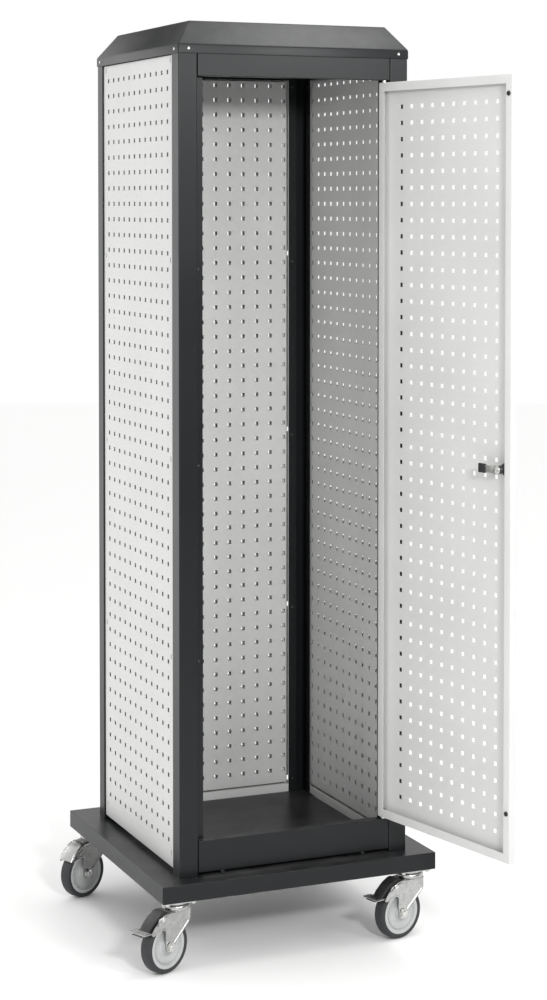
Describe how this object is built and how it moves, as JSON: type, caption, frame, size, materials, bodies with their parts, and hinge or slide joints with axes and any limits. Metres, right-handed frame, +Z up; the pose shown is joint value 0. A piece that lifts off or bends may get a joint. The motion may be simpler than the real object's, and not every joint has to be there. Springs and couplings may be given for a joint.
{
  "type": "mobile tool storage tower",
  "caption": "Tall mobile tool cabinet with perforated sheet sides, a hinged perforated door, a hipped roof and a base platform on swivel casters.",
  "frame": {"origin": "middle of the model's bounding box on the floor, with the door open as stored", "axes": "+X to the right along the front, +Y to the back, +Z up"},
  "size_m": [0.7714, 1.0984, 2.1776],
  "materials": {
    "panel_paint": "satin powder coat, light grey",
    "frame_paint": "satin powder coat, anthracite",
    "zinc": "bright zinc plate",
    "dark_steel": "blackened",
    "caster_steel": "bright zinc plate, pressed",
    "black_plastic": "fine grain",
    "buffer_rubber": "matt",
    "wheel_centre": "moulded grey",
    "tyre_rubber": "grey rubber tread"
  },
  "bodies": {
    "tower": {"side_panel_left": "panel_paint", "side_panel_right": "panel_paint", "back_panel": "panel_paint", "platform_tray": "frame_paint", "platform_ribs": "frame_paint", "floor_panel": "frame_paint", "post_front_left": "frame_paint", "post_front_right": "frame_paint", "post_rear_left": "frame_paint", "post_rear_right": "frame_paint", "header": "frame_paint", "sill": "frame_paint", "upper_rails": "frame_paint", "top_plate": "frame_paint", "roof_cap": "frame_paint", "platform_bolts": "zinc", "roof_screws": "zinc", "panel_screws": "zinc", "hinge_pins": "zinc", "hinge_washers": "black_plastic", "caster_bolts": "zinc", "caster_plate_front_left": "caster_steel", "kingpin_front_left": "caster_steel", "caster_plate_front_right": "caster_steel", "kingpin_front_right": "caster_steel", "caster_plate_rear_left": "caster_steel", "kingpin_rear_left": "caster_steel", "caster_plate_rear_right": "caster_steel", "kingpin_rear_right": "caster_steel"},
    "door": {"door_panel": "panel_paint", "door_buffers": "buffer_rubber", "hinge_bushes": "black_plastic", "lock_housing": "zinc", "lock_nut": "dark_steel"},
    "lock": {"lock_knob": "black_plastic", "lock_cam": "zinc", "cam_screw": "zinc", "cam_sleeve": "black_plastic"},
    "swivel_front_left": {"fork_front_left": "caster_steel", "axle_front_left": "zinc", "brake_pivot_front_left": "zinc"},
    "wheel_front_left": {"rim_front_left": "wheel_centre", "tyre_front_left": "tyre_rubber"},
    "brake_front_left": {"brake_pedal_front_left": "caster_steel", "brake_pad_front_left": "black_plastic"},
    "swivel_front_right": {"fork_front_right": "caster_steel", "axle_front_right": "zinc", "brake_pivot_front_right": "zinc"},
    "wheel_front_right": {"rim_front_right": "wheel_centre", "tyre_front_right": "tyre_rubber"},
    "brake_front_right": {"brake_pedal_front_right": "caster_steel", "brake_pad_front_right": "black_plastic"},
    "swivel_rear_left": {"fork_rear_left": "caster_steel", "axle_rear_left": "zinc"},
    "wheel_rear_left": {"rim_rear_left": "wheel_centre", "tyre_rear_left": "tyre_rubber"},
    "swivel_rear_right": {"fork_rear_right": "caster_steel", "axle_rear_right": "zinc"},
    "wheel_rear_right": {"rim_rear_right": "wheel_centre", "tyre_rear_right": "tyre_rubber"}
  },
  "joints": [
    {"name": "door_hinge", "type": "hinge", "parent": "tower", "child": "door", "pos_m": [0.26944, -0.08722, 0.293], "axis": [0, 0, 1], "range_deg": [-101.9, 18]},
    {"name": "lock_turn", "type": "hinge", "parent": "door", "child": "lock", "pos_m": [0.36505, -0.51132, 1.169], "axis": [0.9785, 0.2062, 0], "range_deg": [0, 180]},
    {"name": "swivel_front_left", "type": "hinge", "parent": "tower", "child": "swivel_front_left", "pos_m": [-0.26226, -0.09382, 0.165], "axis": [0, 0, 1], "continuous": true},
    {"name": "wheel_front_left", "type": "hinge", "parent": "swivel_front_left", "child": "wheel_front_left", "pos_m": [-0.29697, -0.10928, 0.0625], "axis": [-0.4067, 0.9135, 0], "continuous": true},
    {"name": "brake_front_left", "type": "hinge", "parent": "swivel_front_left", "child": "brake_front_left", "pos_m": [-0.31707, -0.11823, 0.131], "axis": [0.4067, -0.9135, 0], "range_deg": [0, 10]},
    {"name": "swivel_front_right", "type": "hinge", "parent": "tower", "child": "swivel_front_right", "pos_m": [0.33774, -0.09382, 0.165], "axis": [0, 0, 1], "continuous": true},
    {"name": "wheel_front_right", "type": "hinge", "parent": "swivel_front_right", "child": "wheel_front_right", "pos_m": [0.30104, -0.10366, 0.0625], "axis": [-0.2588, 0.9659, 0], "continuous": true},
    {"name": "brake_front_right", "type": "hinge", "parent": "swivel_front_right", "child": "brake_front_right", "pos_m": [0.27979, -0.10935, 0.131], "axis": [0.2588, -0.9659, 0], "range_deg": [0, 10]},
    {"name": "swivel_rear_left", "type": "hinge", "parent": "tower", "child": "swivel_rear_left", "pos_m": [-0.26226, 0.50418, 0.165], "axis": [0, 0, 1], "continuous": true},
    {"name": "wheel_rear_left", "type": "hinge", "parent": "swivel_rear_left", "child": "wheel_rear_left", "pos_m": [-0.29697, 0.48872, 0.0625], "axis": [-0.4067, 0.9135, 0], "continuous": true},
    {"name": "swivel_rear_right", "type": "hinge", "parent": "tower", "child": "swivel_rear_right", "pos_m": [0.33774, 0.50418, 0.165], "axis": [0, 0, 1], "continuous": true},
    {"name": "wheel_rear_right", "type": "hinge", "parent": "swivel_rear_right", "child": "wheel_rear_right", "pos_m": [0.30181, 0.49181, 0.0625], "axis": [-0.3256, 0.9455, 0], "continuous": true}
  ]
}
